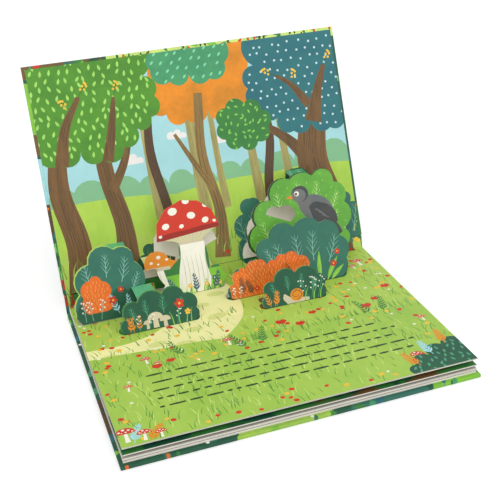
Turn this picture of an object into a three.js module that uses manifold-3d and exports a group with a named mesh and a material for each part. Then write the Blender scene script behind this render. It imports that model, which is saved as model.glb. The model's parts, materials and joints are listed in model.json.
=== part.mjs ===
// A pop-up book standing open at one spread, in millimetres, +Z up.
// The lower half lies on the table: back cover, spine, leaves and the printed floor page.
// The upper half leans back: front cover, backing leaf and the printed upright page.
// Card plates stand on creases of the floor page, parallel to the upright page.
// Card straps, parallel to the floor page, tie each plate to what is behind it.
import * as THREE from 'three';
import { mergeVertices } from 'three/addons/utils/BufferGeometryUtils.js';
import Module from 'manifold-3d';

const wasm = await Module();
wasm.setup();

// Pages
const PAGE_WIDTH = 280;
const PAGE_DEPTH = 204.5;
const SHEET_THICKNESS = 0.3;
const LEAN_BACK = THREE.MathUtils.degToRad(23.4);

// Leaves of the lower half, top one first: thickness, how much shorter than the page,
// gap under it at the front, and how far from the gutter that gap begins
const LEAVES = [
  { thickness: 0.6, shorter: 0, gap: 5.6, open: 14 },
  { thickness: 1.0, shorter: 0.6, gap: 2.0, open: 26 },
  { thickness: 0.9, shorter: 0.2, gap: 0.35, open: 70 },
  { thickness: 0.85, shorter: 0.8, gap: 0.25, open: 80 },
  { thickness: 0.95, shorter: 0.3, gap: 0.3, open: 75 },
  { thickness: 0.9, shorter: 0.7, gap: 0, open: 0 },
];

// Case
const BOARD_THICKNESS = 3;
const OVERHANG = 2.7;
const GROOVE = 4;
const UPPER_GROOVE = 0.4;
const SPINE_THICKNESS = 2.5;
const SPINE_HEIGHT = 16.8;
const SPINE_LEAN = THREE.MathUtils.degToRad(11.9);
const SPINE_FOOT = 4;
const STRIP_OVER_SPINE = 1.52;
const BACKING_THICKNESS = 0.4;

// Clearances
const FIT = 0.1;
const CREASE_GAP = 0.4;
const HOLE_MARGIN = 0.8;
const GUTTER_GAP = 0.2;
// A strap is pressed thin at its creases, starts this far from its own plate and ends this
// far short of what is behind, so that it stays clear when the book is nearly shut or flat
const STRAP_START = 0.3;
const STRAP_SHORT = 2.9;
const STRAP_SCORE = 1.3;
const STRAP_SCORE_THICKNESS = 0.05;

// Round lobes are drawn with this many straight steps
const LOBE_STEPS = 6;

// Plates. foot: distance of the crease in front of the gutter. hole: how far behind the
// crease the hole left in the floor page goes. outline: x, height, bulge of the arc that
// ends there (0 is straight), from the left end of the crease round to its right end.
// window: the outline of a hole cut through the plate.
const PLATES = {
  left_bush: {
    foot: 36, hole: 36, colour: 0x2f7350,
    outline: [[-134, 0], [-133, 26, 0.22], [-122, 50, 0.3], [-99, 59, 0.36], [-83, 46, 0.34],
      [-79, 20, 0.2], [-80, 0, 0.16]],
  },
  front_left_bush: {
    foot: 65, hole: 22, colour: 0x2c5f3c,
    outline: [[-103, 0], [-103, 13, 0.4], [-91, 25, 0.42], [-70, 28, 0.3], [-51, 25, 0.34],
      [-42, 11, 0.34], [-46, 0, 0.34]],
  },
  toadstools: {
    foot: 21, hole: 21, colour: 0xc22a1c,
    outline: [[-52, 0], [-57, 12, 0.3], [-62, 27, 0.1], [-72, 27, -0.1], [-50, 35, 0.5], [-40, 33, -0.2],
      [-39, 46, 0.05], [-58, 50, -0.08], [0, 55, 0.52], [-17, 46, -0.08], [-15, 19, 0.05],
      [-4, 14, 0.4], [-3, 6, 0.3], [-10, 0, 0.2]],
  },
  tall_bush: {
    foot: 21, hole: 21, colour: 0x6fae35,
    outline: [[34, 0], [30, 22, 0.2], [32, 48, 0.3], [49, 68, 0.34], [70, 84, 0.34], [92, 84, 0.2],
      [113, 75, 0.4], [121, 55, 0.3], [117, 31, 0.3], [113, 14, 0.4], [110, 0, 0.4]],
    window: [[44, 56], [57, 60, 0.3], [72, 52, 0.3], [66, 46, 0.1]],
  },
  middle_bush: {
    foot: 47, hole: 20, colour: 0x3f7f66,
    outline: [[-2, 0], [-2, 14, 0.5], [10, 25, 0.4], [24, 30, 0.24], [35, 47, 0.36], [59, 53, 0.34],
      [84, 52, 0.26], [101, 38, 0.34], [105, 17, 0.28], [99, 0, 0.2]],
  },
  low_bush: {
    foot: 72.5, hole: 20, colour: 0x24552f,
    outline: [[18, 0], [17, 11, 0.42], [26, 22, 0.4], [46, 26.5, 0.36], [66, 22, 0.3], [71, 10, 0.34],
      [68, 0, 0.3]],
  },
};

// Straps. on: the plate that carries it. behind: the plate behind, or none for the page.
const STRAPS = {
  left_bush_strap: { on: 'left_bush', behind: null, height: 47, from: -102, to: -84, colour: 0x9cc24a },
  front_left_bush_strap: {
    on: 'front_left_bush', behind: 'left_bush', height: 24, from: -89, to: -72, colour: 0x49a78b,
  },
  toadstools_strap: { on: 'toadstools', behind: null, height: 30, from: -71, to: -60, colour: 0xe3e59a },
  tall_bush_strap: { on: 'tall_bush', behind: null, height: 83, from: 75, to: 92, colour: 0x78c08d },
  middle_bush_strap: { on: 'middle_bush', behind: 'tall_bush', height: 40, from: 60, to: 80, colour: 0x3f7f66 },
  low_bush_strap: { on: 'low_bush', behind: 'middle_bush', height: 23.5, from: 48, to: 64, colour: 0xf08a24 },
};

const COVER_COLOUR = 0x4d3a25;
const PAPER_COLOUR = 0xe8e2d3;
const FLOOR_COLOUR = 0xb9cf52;
const UPRIGHT_COLOUR = 0x5f9a4a;

// Worked out from the sizes above
const sum = (values) => values.reduce((total, value) => total + value, 0);
const blockHeight = sum(LEAVES.map((leaf) => leaf.thickness));
const gutterHeight = BOARD_THICKNESS + FIT + blockHeight + FIT + SHEET_THICKNESS;
const floorRise = Math.asin(sum(LEAVES.map((leaf) => leaf.gap)) / PAGE_DEPTH);
const standing = Math.PI / 2 - LEAN_BACK;
const gutterStrip = (FIT + SPINE_HEIGHT * Math.cos(SPINE_LEAN) + STRIP_OVER_SPINE - gutterHeight)
  / Math.cos(LEAN_BACK);
const upperStart = gutterStrip + UPPER_GROOVE;
const coverWidth = PAGE_WIDTH + 2 * OVERHANG;
const lowerCoverDepth = PAGE_DEPTH + OVERHANG - GROOVE;
const lowerCoverCentre = GROOVE + lowerCoverDepth / 2;

function material(colour, roughness = 0.6) {
  return new THREE.MeshStandardMaterial({ color: colour, roughness, metalness: 0 });
}

function named(name, geometry, colour) {
  const mesh = new THREE.Mesh(geometry, material(colour));
  mesh.name = name;
  return mesh;
}

// The points of a lobed outline: each corner is joined to the one before by an arc
function lobedPoints(corners) {
  const points = [new THREE.Vector2(corners[0][0], corners[0][1])];
  for (let i = 1; i < corners.length; i += 1) {
    const start = new THREE.Vector2(corners[i - 1][0], corners[i - 1][1]);
    const end = new THREE.Vector2(corners[i][0], corners[i][1]);
    const bulge = corners[i][2] ?? 0;
    const chord = end.clone().sub(start);
    const left = new THREE.Vector2(-chord.y, chord.x);
    const steps = bulge === 0 ? 1 : LOBE_STEPS;
    const half = 2 * Math.atan(2 * bulge);
    for (let k = 1; k <= steps; k += 1) {
      const turn = half * (2 * k / steps - 1);
      const along = bulge === 0 ? 1 : 0.5 + Math.sin(turn) / (2 * Math.sin(half));
      const out = bulge === 0 ? 0 : (Math.cos(turn) - Math.cos(half)) / (2 * Math.sin(half));
      points.push(start.clone().addScaledVector(chord, along).addScaledVector(left, out));
    }
  }
  return points;
}

// An outline moved outwards all round
function grown(points, margin) {
  return points.map((point, i) => {
    const before = points[(i + points.length - 1) % points.length];
    const after = points[(i + 1) % points.length];
    const arriving = point.clone().sub(before).normalize();
    const leaving = after.clone().sub(point).normalize();
    const outwards = new THREE.Vector2(-arriving.y - leaving.y, arriving.x + leaving.x).normalize();
    return point.clone().addScaledVector(outwards, margin);
  });
}

function slab(points, thickness, top) {
  const geometry = new THREE.ExtrudeGeometry(new THREE.Shape(points), { depth: thickness, bevelEnabled: false });
  return geometry.translate(0, 0, top - thickness);
}

// A sheet's local frame: x along the gutter, y away from the gutter or up, z out of its printed face
function rectangle(x0, x1, y0, y1) {
  return [[x0, y0], [x1, y0], [x1, y1], [x0, y1]].map(([x, y]) => new THREE.Vector2(x, y));
}

function toSolid(geometry) {
  const bare = geometry.clone();
  bare.deleteAttribute('normal');
  bare.deleteAttribute('uv');
  const merged = mergeVertices(bare, 1e-5);
  return new wasm.Manifold(new wasm.Mesh({
    numProp: 3,
    vertProperties: Float32Array.from(merged.attributes.position.array),
    triVerts: Uint32Array.from(merged.index.array),
  }));
}

function fromSolid(solid) {
  const mesh = solid.getMesh();
  const geometry = new THREE.BufferGeometry();
  geometry.setAttribute('position', new THREE.BufferAttribute(Float32Array.from(mesh.vertProperties), 3));
  geometry.setIndex(Array.from(mesh.triVerts));
  const flat = geometry.toNonIndexed();
  flat.computeVertexNormals();
  return flat;
}

// Profile in the plane of y and z, drawn out along the whole width in x
function along(profile, width) {
  const geometry = new THREE.ExtrudeGeometry(new THREE.Shape(profile), { depth: width, bevelEnabled: false });
  geometry.rotateX(Math.PI / 2).rotateZ(Math.PI / 2);
  return geometry.translate(-width / 2, 0, 0);
}

// The sheet that a plate was cut from, seen flat: what lies between two heights of its outline
function cutOut(plate, low, high, reach, place = (point) => point) {
  const outline = slab(grown(lobedPoints(plate.outline), HOLE_MARGIN).map(place), reach * 2, reach);
  const width = PAGE_WIDTH - 2 * OVERHANG;
  const band = slab(rectangle(-width / 2, width / 2, low, high), reach * 3, reach * 1.5);
  return toSolid(outline).intersect(toSolid(band));
}

// Where a point of a plate meets the strip as the plate lies down on it
function metByStrip(plate) {
  const fold = standing + floorRise;
  const level = plate.foot * Math.sin(fold);
  return (point) => new THREE.Vector2(
    point.x,
    point.y > plate.foot ? Math.sqrt(point.y ** 2 - level ** 2) - plate.foot * Math.cos(fold) : point.y - plate.foot,
  );
}

function backCover() {
  const front = -(PAGE_DEPTH + OVERHANG);
  const geometry = slab(rectangle(-coverWidth / 2, coverWidth / 2, front, -GROOVE), BOARD_THICKNESS,
    BOARD_THICKNESS - gutterHeight);
  return named('back_cover', geometry, COVER_COLOUR);
}

// Leaves are joined at the gutter and fan out to the front
function pageBlock() {
  const top = -(SHEET_THICKNESS + FIT);
  const profile = [new THREE.Vector2(-GUTTER_GAP, top - blockHeight), new THREE.Vector2(-GUTTER_GAP, top)];
  let above = 0;
  let below = sum(LEAVES.map((leaf) => leaf.gap));
  for (const leaf of LEAVES) {
    const length = PAGE_DEPTH - leaf.shorter;
    const high = (distance) => top - above + below * distance / length;
    profile.push(new THREE.Vector2(-length, high(length)));
    profile.push(new THREE.Vector2(-length, high(length) - leaf.thickness));
    above += leaf.thickness;
    if (leaf.gap > 0) {
      const slotTop = top - above + below * leaf.open / length;
      below -= leaf.gap;
      profile.push(new THREE.Vector2(-leaf.open, slotTop));
      profile.push(new THREE.Vector2(-leaf.open, slotTop - leaf.gap * leaf.open / length));
    }
  }
  return named('page_block', along(profile, PAGE_WIDTH), PAPER_COLOUR);
}

// The printed floor page and the strip past its fold, one folded sheet
function floorPage() {
  const towardsFront = new THREE.Vector2(-Math.cos(floorRise), Math.sin(floorRise));
  const upwards = new THREE.Vector2(Math.sin(LEAN_BACK), Math.cos(LEAN_BACK));
  const under = new THREE.Vector2(-Math.sin(floorRise), -Math.cos(floorRise));
  const behind = new THREE.Vector2(Math.cos(LEAN_BACK), -Math.sin(LEAN_BACK));
  const at = (direction, distance, side) => direction.clone().multiplyScalar(distance)
    .addScaledVector(side, SHEET_THICKNESS);
  const inner = towardsFront.clone().add(upwards).normalize();
  const halfAngle = Math.acos(inner.dot(upwards));
  const corner = inner.clone().multiplyScalar(-SHEET_THICKNESS / Math.sin(halfAngle));
  const profile = [
    towardsFront.clone().multiplyScalar(PAGE_DEPTH),
    at(towardsFront, PAGE_DEPTH, under),
    corner,
    at(upwards, gutterStrip, behind),
    upwards.clone().multiplyScalar(gutterStrip),
    new THREE.Vector2(0, 0),
  ];
  let sheet = toSolid(along(profile, PAGE_WIDTH));
  for (const plate of Object.values(PLATES)) {
    const reach = 2;
    const onFloor = cutOut(plate, 0, plate.hole, reach).translate([0, -plate.foot, 0])
      .rotate([-THREE.MathUtils.radToDeg(floorRise), 0, 0]);
    sheet = sheet.subtract(onFloor);
    if (plate.hole === plate.foot) {
      const printed = cutOut(plate, plate.foot, plate.foot + gutterStrip + 1, reach).translate([0, -plate.foot, 0]);
      const swept = cutOut(plate, 0, gutterStrip + 1, reach, metByStrip(plate));
      for (const hole of [printed, swept]) {
        sheet = sheet.subtract(hole.rotate([THREE.MathUtils.radToDeg(standing), 0, 0]));
      }
    }
  }
  return named('floor_page', fromSolid(sheet), FLOOR_COLOUR);
}

function uprightPage() {
  const half = PAGE_WIDTH / 2;
  let sheet = toSolid(slab(rectangle(-half, half, upperStart, PAGE_DEPTH), SHEET_THICKNESS, 0));
  for (const plate of Object.values(PLATES)) {
    if (plate.hole === plate.foot) {
      sheet = sheet.subtract(cutOut(plate, plate.foot, PAGE_DEPTH, 2).translate([0, -plate.foot, 0]));
    }
  }
  return named('upright_page', fromSolid(sheet), UPRIGHT_COLOUR);
}

function uprightBacking() {
  const half = PAGE_WIDTH / 2;
  const geometry = slab(rectangle(-half, half, upperStart, PAGE_DEPTH), BACKING_THICKNESS, -SHEET_THICKNESS - FIT);
  return named('upright_backing', geometry, PAPER_COLOUR);
}

function frontCover() {
  const half = coverWidth / 2;
  const face = -(SHEET_THICKNESS + BACKING_THICKNESS + 2 * FIT);
  const geometry = slab(rectangle(-half, half, upperStart, PAGE_DEPTH + OVERHANG), BOARD_THICKNESS, face);
  return named('front_cover', geometry, COVER_COLOUR);
}

// The spine board stands on its outer edge and leans back to the foot of the front cover
function spine() {
  const geometry = new THREE.BoxGeometry(coverWidth, SPINE_THICKNESS, SPINE_HEIGHT);
  geometry.translate(0, -SPINE_THICKNESS / 2, SPINE_HEIGHT / 2);
  const mesh = named('spine', geometry, COVER_COLOUR);
  mesh.position.set(0, SPINE_FOOT, FIT - gutterHeight);
  mesh.rotation.x = -SPINE_LEAN;
  return mesh;
}

// A plate's front face stands on its crease
function plateMesh(name) {
  const plate = PLATES[name];
  const points = lobedPoints(plate.outline.map(([x, y, bulge]) => [x, Math.max(y, CREASE_GAP), bulge]));
  const card = slab(points, SHEET_THICKNESS, 0);
  if (!plate.window) {
    return named(name, card, plate.colour);
  }
  const window = slab(lobedPoints(plate.window), SHEET_THICKNESS * 3, SHEET_THICKNESS);
  return named(name, fromSolid(toSolid(card).subtract(toSolid(window))), plate.colour);
}

function strapMesh(name) {
  const strap = STRAPS[name];
  const behind = strap.behind ? PLATES[strap.behind].foot : 0;
  const end = PLATES[strap.on].foot - behind - SHEET_THICKNESS - STRAP_SHORT;
  const thick = SHEET_THICKNESS / 2;
  const thin = STRAP_SCORE_THICKNESS / 2;
  const profile = [
    [STRAP_START, -thin], [STRAP_START + STRAP_SCORE, -thick], [end - STRAP_SCORE, -thick], [end, -thin],
    [end, thin], [end - STRAP_SCORE, thick], [STRAP_START + STRAP_SCORE, thick], [STRAP_START, thin],
  ].map(([y, z]) => new THREE.Vector2(y, z));
  const geometry = along(profile, strap.to - strap.from);
  return named(name, geometry.translate((strap.from + strap.to) / 2, 0, 0), strap.colour);
}

const lower = new THREE.Group();
lower.add(backCover(), spine(), pageBlock(), floorPage());

const upper = new THREE.Group();
upper.rotation.x = standing;
upper.add(frontCover(), uprightBacking(), uprightPage());

const popUps = new THREE.Group();
for (const [name, plate] of Object.entries(PLATES)) {
  const stand = new THREE.Group();
  stand.position.set(0, -plate.foot * Math.cos(floorRise), plate.foot * Math.sin(floorRise));
  stand.rotation.x = standing;
  stand.add(plateMesh(name));
  for (const [strapName, strap] of Object.entries(STRAPS)) {
    if (strap.on === name) {
      const mesh = strapMesh(strapName);
      mesh.position.set(0, strap.height, -SHEET_THICKNESS);
      mesh.rotation.x = -standing - floorRise;
      stand.add(mesh);
    }
  }
  popUps.add(stand);
}

const book = new THREE.Group();
book.position.set(0, lowerCoverCentre, gutterHeight);
book.add(lower, upper, popUps);

export default book;
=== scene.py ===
"""A pop-up book of card, standing open at a woodland spread, dressed over its solids."""

import json
import math
import random

import bpy
import numpy as np
from bpy.props import FloatProperty, FloatVectorProperty, IntProperty, PointerProperty
from mathutils import Matrix, Vector
from mathutils.geometry import delaunay_2d_cdt


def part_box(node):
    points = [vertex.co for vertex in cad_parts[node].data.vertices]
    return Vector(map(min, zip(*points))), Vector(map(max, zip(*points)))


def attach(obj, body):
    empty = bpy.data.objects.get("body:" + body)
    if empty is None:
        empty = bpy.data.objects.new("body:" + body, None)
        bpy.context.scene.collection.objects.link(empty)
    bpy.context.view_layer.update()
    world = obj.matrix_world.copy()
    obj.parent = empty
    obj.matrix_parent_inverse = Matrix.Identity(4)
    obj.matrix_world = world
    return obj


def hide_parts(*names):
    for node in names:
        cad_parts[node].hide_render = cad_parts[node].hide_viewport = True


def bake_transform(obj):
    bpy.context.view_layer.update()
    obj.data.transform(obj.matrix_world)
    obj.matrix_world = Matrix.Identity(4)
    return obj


bl_info = {
    "name": "Pop-up book",
    "version": (1, 0, 0),
    "blender": (4, 5, 0),
    "location": "3D View > Sidebar > Pop-up book",
    "description": "Prints and cuts the sheets of a pop-up book over its solids",
    "category": "Object",
}

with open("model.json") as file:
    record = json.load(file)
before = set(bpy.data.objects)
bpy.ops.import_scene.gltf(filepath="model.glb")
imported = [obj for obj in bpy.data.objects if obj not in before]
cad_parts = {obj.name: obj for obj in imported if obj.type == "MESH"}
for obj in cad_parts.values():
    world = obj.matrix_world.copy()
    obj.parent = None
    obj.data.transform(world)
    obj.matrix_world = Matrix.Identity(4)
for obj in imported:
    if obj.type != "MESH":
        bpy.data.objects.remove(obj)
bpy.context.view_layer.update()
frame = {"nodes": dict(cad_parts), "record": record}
JOINTS = {joint["name"]: joint for joint in frame["record"]["behaviour"]["joints"]}
MM = 0.001

# The solids' angles, and their sizes in millimetres
LEAN = math.radians(23.4)
PAGE_DEPTH = 204.5
FRONT_LIFT = 8.5
RISE = math.asin(FRONT_LIFT / PAGE_DEPTH)
CARD = 0.3
COVER_BEHIND_PAGE = 0.9
COVER_FOOT = 10.6

# Directions: up and out of the upright page, forward and out of the floor page
UP = Vector((0, math.sin(LEAN), math.cos(LEAN)))
OUT = Vector((0, -math.cos(LEAN), math.sin(LEAN)))
FORWARD = Vector((0, -math.cos(RISE), math.sin(RISE)))
ABOVE = Vector((0, math.sin(RISE), math.cos(RISE)))
ACROSS = Vector((1, 0, 0))
GUTTER = Vector(JOINTS["cover_hinge"]["pos_m"])

# Where the print of the floor page bends up past the gutter
STRIP_CREASES = tuple(1.5 * k for k in range(7))

# The straps' thinned ends, and how far short of the card behind they stop
STRAP_SCORE = 1.5
STRAP_END_SHARE = 0.08
STRAP_CLEARANCE = 0.06

# The wrap at the spine: distance along it, then the outer and the inner side there, as y and z from the gutter
SPINE_SECTION = (
    (0, (-4, -8.68), (-4, -8.25)),
    (7.4, (3.4, -8.68), (1.2, -8.25)),
    (8.2, (4.05, -8.2), (1.6, -7.8)),
    (24.2, (7.42, 7.7), (4.98, 8.2)),
    (25.0, (7.79, 8.18), (7.2, 8.3)),
)
SPINE_WRAP = 25
SPINE_ROWS = (4, 7.4, 8.2, 10, 12, 14, 16, 18, 20, 22, 24.2)
SPINE_EDGE = 0.02

FINISHES = ("paper", "plain", "foliage", "bark", "meadow", "wash")


def linear(code):
    """The linear colour of a hex code."""
    values = [int(code[i:i + 2], 16) / 255 for i in (0, 2, 4)]
    return tuple(v / 12.92 if v <= 0.04045 else ((v + 0.055) / 1.055) ** 2.4 for v in values)


def ink(label, code):
    return FloatVectorProperty(
        name=label, description=f"Ink for {label.lower()}", subtype="COLOR", min=0, max=1, default=linear(code)
    )


class BookInks(bpy.types.PropertyGroup):
    """Colours that the sheets are printed in."""

    paper: ink("Card and cut edges", "f3ede1")
    teal: ink("Teal canopy", "256f79")
    teal_mark: ink("Marks on the teal canopy", "c6e0e2")
    mid_green: ink("Middle green canopy", "46996a")
    mid_vein: ink("Veins of the middle green", "7fd6a6")
    bright: ink("Bright green canopy", "509026")
    bright_mark: ink("Marks on the bright green", "a3dc66")
    bush_green: ink("Tall bush", "66ab3c")
    bush_vein: ink("Veins of the tall bush", "bfe88a")
    leaf_green: ink("Leaf green canopy", "37803a")
    leaf_mark: ink("Marks on the leaf green", "86c654")
    strap_green: ink("Straps of the left bushes", "62b888")
    deep_green: ink("Deep green bushes", "1d5a41")
    deep_vein: ink("Veins of the deep green", "4fa27d")
    dark_leaf: ink("Dark sprigs", "1c5136")
    teal_bush: ink("Teal bushes", "307060")
    teal_vein: ink("Veins of the teal bushes", "8fc4b4")
    amber: ink("Amber canopy", "e48a18")
    orange: ink("Orange bushes", "e46c1a")
    orange_mark: ink("Marks on the orange", "f2a04c")
    bark: ink("Bark", "74552e")
    bark_light: ink("Lighter bark", "8f7440")
    bark_dark: ink("Darker bark", "57402a")
    grain: ink("Bark lines", "4a3620")
    pale_trunk: ink("Distant trunks", "a8a062")
    sky: ink("Sky", "a6d8de")
    cloud: ink("Clouds", "efe8e6")
    far_tree: ink("Distant trees", "82ba8c")
    far_meadow: ink("Distant meadow", "a9cf4d")
    meadow: ink("Meadow", "accd56")
    meadow_deep: ink("Deeper meadow", "a0c650")
    blade_light: ink("Light grass", "cbe27c")
    blade_dark: ink("Dark grass", "5a9439")
    path: ink("Path", "f3f0aa")
    path_patch: ink("Patches of the path", "dde08e")
    red: ink("Red", "d2351f")
    deep_red: ink("Deep red", "9c2318")
    yellow: ink("Yellow", "efc23a")
    white: ink("White", "f6f2e6")
    cool_leaf: ink("Pale blue sprigs", "a5dbe2")
    lime: ink("Lime leaves", "86c53e")
    ink_dark: ink("Dark lines", "27451f")
    slate: ink("Slate blue", "3f6078")
    stone: ink("Grey", "6f7073")
    fawn: ink("Fawn", "cfc4a6")


class BookSizes(bpy.types.PropertyGroup):
    """Sizes of the drawing and of the room it stands in."""

    grass: IntProperty(name="Grass", description="How many blades of grass the floor page has", default=1100, min=0)
    flowers: IntProperty(name="Flowers", description="How many small flowers the floor page has", default=340,
        min=0)
    # The lower share of the stack, whose faces get painted shade in place of print
    shaded_leaves: FloatProperty(name="Plain leaves", description="Share of the stack without print", default=0.5,
        min=0, max=1)
    edge: FloatProperty(name="Board edge", description="Radius of the covers' edges", default=0.0005, min=0,
        unit="LENGTH")
    lens: FloatProperty(name="Lens", description="Focal length of the camera", default=67.39, min=20, unit="CAMERA")
    key: FloatProperty(name="Key lamp", description="Power of the large lamp", default=9.0, min=0, unit="POWER")
    sky: FloatProperty(name="Room light", description="Strength of the light from all round", default=0.8, min=0)


def inks():
    return bpy.context.scene.book_inks


def sizes():
    return bpy.context.scene.book_sizes


# Shaders


class Value:
    """A socket with a number or a colour; arithmetic on it adds the nodes."""

    def __init__(self, shader, socket):
        self.shader = shader
        self.socket = socket

    def maths(self, operation, a, b=0.0):
        return self.shader.node("ShaderNodeMath", {"operation": operation}, {0: a, 1: b})["Value"]

    def __add__(self, other):
        return self.maths("ADD", self, other)

    __radd__ = __add__

    def __sub__(self, other):
        return self.maths("SUBTRACT", self, other)

    def __rsub__(self, other):
        return self.maths("SUBTRACT", other, self)

    def __mul__(self, other):
        return self.maths("MULTIPLY", self, other)

    __rmul__ = __mul__

    def __abs__(self):
        return self.maths("ABSOLUTE", self)

    def __gt__(self, other):
        return self.maths("GREATER_THAN", self, other)

    def __lt__(self, other):
        return self.maths("LESS_THAN", self, other)


class Outputs:
    """A node's outputs, by name."""

    def __init__(self, shader, node):
        self.shader = shader
        self.node = node

    def __getitem__(self, key):
        return Value(self.shader, self.node.outputs[key])


class Shader:
    """A material's nodes."""

    def __init__(self, name, roughness=0.5, specular=0.5):
        self.material = bpy.data.materials.new(name)
        self.material.use_nodes = True
        self.tree = self.material.node_tree
        self.surface = self.tree.nodes["Principled BSDF"]
        self.surface.inputs["Roughness"].default_value = roughness
        self.surface.inputs["Specular IOR Level"].default_value = specular

    def node(self, kind, settings=None, values=None):
        node = self.tree.nodes.new(kind)
        for key, setting in (settings or {}).items():
            setattr(node, key, setting)
        for key, value in (values or {}).items():
            self.put(node.inputs[key], value)
        return Outputs(self, node)

    def put(self, socket, value):
        if isinstance(value, Value):
            self.tree.links.new(value.socket, socket)
        elif hasattr(value, "__len__") and len(value) == 3 and socket.type == "RGBA":
            socket.default_value = (*value, 1)
        else:
            socket.default_value = value

    def place(self, stretch=(1, 1, 1)):
        """Object coordinates in metres, stretched."""
        where = self.node("ShaderNodeTexCoord")["Object"]
        return self.node("ShaderNodeMapping", {}, {"Vector": where, "Scale": stretch})["Vector"]

    def noise(self, scale, detail=2.0, rough=0.5, stretch=(1, 1, 1)):
        return self.node(
            "ShaderNodeTexNoise", {}, {"Vector": self.place(stretch), "Scale": scale, "Detail": detail,
                "Roughness": rough}
        )["Fac"]

    def attribute(self, name):
        return self.node("ShaderNodeAttribute", {"attribute_name": name})["Color"]

    def mix(self, factor, a, b, blend="MIX"):
        return self.node(
            "ShaderNodeMix", {"data_type": "RGBA", "blend_type": blend}, {0: factor, 6: a, 7: b}
        )[2]

    def smooth(self, value, low, high, to_low=0.0, to_high=1.0):
        return self.node(
            "ShaderNodeMapRange",
            {"interpolation_type": "SMOOTHSTEP"},
            {0: value, 1: low, 2: high, 3: to_low, 4: to_high},
        )[0]

    def bump(self, height, distance, strength=1.0):
        normal = self.node(
            "ShaderNodeBump", {}, {"Height": height, "Distance": distance, "Strength": strength}
        )["Normal"]
        self.put(self.surface.inputs["Normal"], normal)

    def colour(self, value):
        self.put(self.surface.inputs["Base Color"], value)


def paper_shader():
    """Cream card, faintly clouded, with fibres."""
    s = Shader("cream_card", roughness=0.78, specular=0.3)
    fibre = s.noise(900, 3, 0.6, (1, 0.35, 1))
    cloud = s.noise(35, 2)
    base = s.mix(s.smooth(cloud, 0.35, 0.7), inks().paper, [c * 0.93 for c in inks().paper])
    s.colour(s.mix(s.smooth(fibre, 0.55, 0.8, 0, 0.25), base, [c * 0.8 for c in inks().paper]))
    s.bump(fibre, 0.00004, 0.6)
    return s.material


def print_shader(name, amount, scale, stretch=(1, 1, 1), warm=(1, 1, 1), cool=(0.8, 0.84, 0.8), roughness=0.46):
    """Ink on smooth card: the colour of the print, brushed with lighter and darker tones of itself."""
    s = Shader(name, roughness=roughness, specular=0.42)
    colour = s.attribute("ink")
    broad = s.noise(scale, 3, 0.55, stretch)
    fine = s.noise(scale * 5.5, 3, 0.6, stretch)
    speck = s.noise(1500, 2, 0.5)
    tone = s.smooth(broad, 0.32, 0.68) * 0.65 + s.smooth(fine, 0.3, 0.7) * 0.35
    shaded = s.mix(amount, colour, s.mix(tone, cool, warm), "MULTIPLY")
    s.colour(s.mix(s.smooth(speck, 0.66, 0.8, 0, 0.12), shaded, inks().paper))
    s.put(s.surface.inputs["Roughness"], s.smooth(fine, 0.3, 0.7, roughness - 0.05, roughness + 0.1))
    s.bump(speck, 0.00002, 0.35)
    return s.material


def make_finishes():
    """One material for each finish of the print."""
    return [
        paper_shader(),
        print_shader("print_plain", 0.35, 90),
        print_shader("print_foliage", 1.0, 45, cool=(0.74, 0.83, 0.86), warm=(1.12, 1.1, 0.98)),
        print_shader("print_bark", 1.0, 60, (3.4, 0.5, 0.5), cool=(0.7, 0.68, 0.66), warm=(1.15, 1.12, 1.05)),
        print_shader("print_meadow", 1.0, 26, (1.6, 0.9, 0.9), cool=(0.88, 0.93, 0.8), warm=(1.14, 1.06, 1.1)),
        print_shader("print_wash", 0.8, 18, cool=(0.88, 0.9, 0.88), warm=(1.04, 1.04, 1.02), roughness=0.5),
    ]


# Drawing, in millimetres on the sheet


def lobed(corners, steps=7):
    """A closed outline whose corners are joined by arcs: x, y and how far the arc that ends there bulges outwards."""
    area = sum(corners[i - 1][0] * c[1] - c[0] * corners[i - 1][1] for i, c in enumerate(corners))
    outwards = -1 if area > 0 else 1
    points = []
    for i, corner in enumerate(corners):
        x1, y1, bulge = (*corner, 0)[:3]
        x0, y0 = corners[i - 1][:2]
        if bulge == 0:
            points.append((x1, y1))
            continue
        half = 2 * math.atan(2 * bulge * outwards)
        dx, dy = x1 - x0, y1 - y0
        for k in range(1, steps + 1):
            turn = half * (2 * k / steps - 1)
            a = 0.5 + math.sin(turn) / (2 * math.sin(half))
            b = (math.cos(turn) - math.cos(half)) / (2 * math.sin(half))
            points.append((x0 + dx * a - dy * b, y0 + dy * a + dx * b))
    return points


def curve(points, steps=5):
    """A smooth line through the points."""
    p = [np.array(q, float) for q in points]
    if len(p) == 2:
        return [p[0] + (p[1] - p[0]) * k / 2 for k in range(3)]
    p = [2 * p[0] - p[1], *p, 2 * p[-1] - p[-2]]
    line = []
    for a, b, c, d in zip(p, p[1:], p[2:], p[3:]):
        for k in range(steps):
            t = k / steps
            square, cube = 2 * a - 5 * b + 4 * c - d, 3 * b - a - 3 * c + d
            line.append(0.5 * (2 * b + (c - a) * t + square * t * t + cube * t ** 3))
    return [*line, p[-2]]


def ribs(points, widths, steps):
    """A smooth line, the way to its left at each point, and its width there."""
    line = np.array(curve(points, steps))
    way = np.gradient(line, axis=0)
    way /= np.maximum(np.linalg.norm(way, axis=1), 1e-9)[:, None]
    side = np.stack([-way[:, 1], way[:, 0]], 1)
    return line, side, np.interp(np.linspace(0, 1, len(line)), np.linspace(0, 1, len(widths)), widths)


def band(points, widths, steps=5):
    """A stroke of changing width along a smooth line."""
    line, side, width = ribs(points, widths, steps)
    half = width[:, None] / 2
    return [*(line + side * half), *(line - side * half)[::-1]]


def oval(x, y, rx, ry, turn=0.0, n=10):
    c, s = math.cos(turn), math.sin(turn)
    return [
        (x + rx * math.cos(a) * c - ry * math.sin(a) * s, y + rx * math.cos(a) * s + ry * math.sin(a) * c)
        for a in (2 * math.pi * k / n for k in range(n))
    ]


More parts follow.
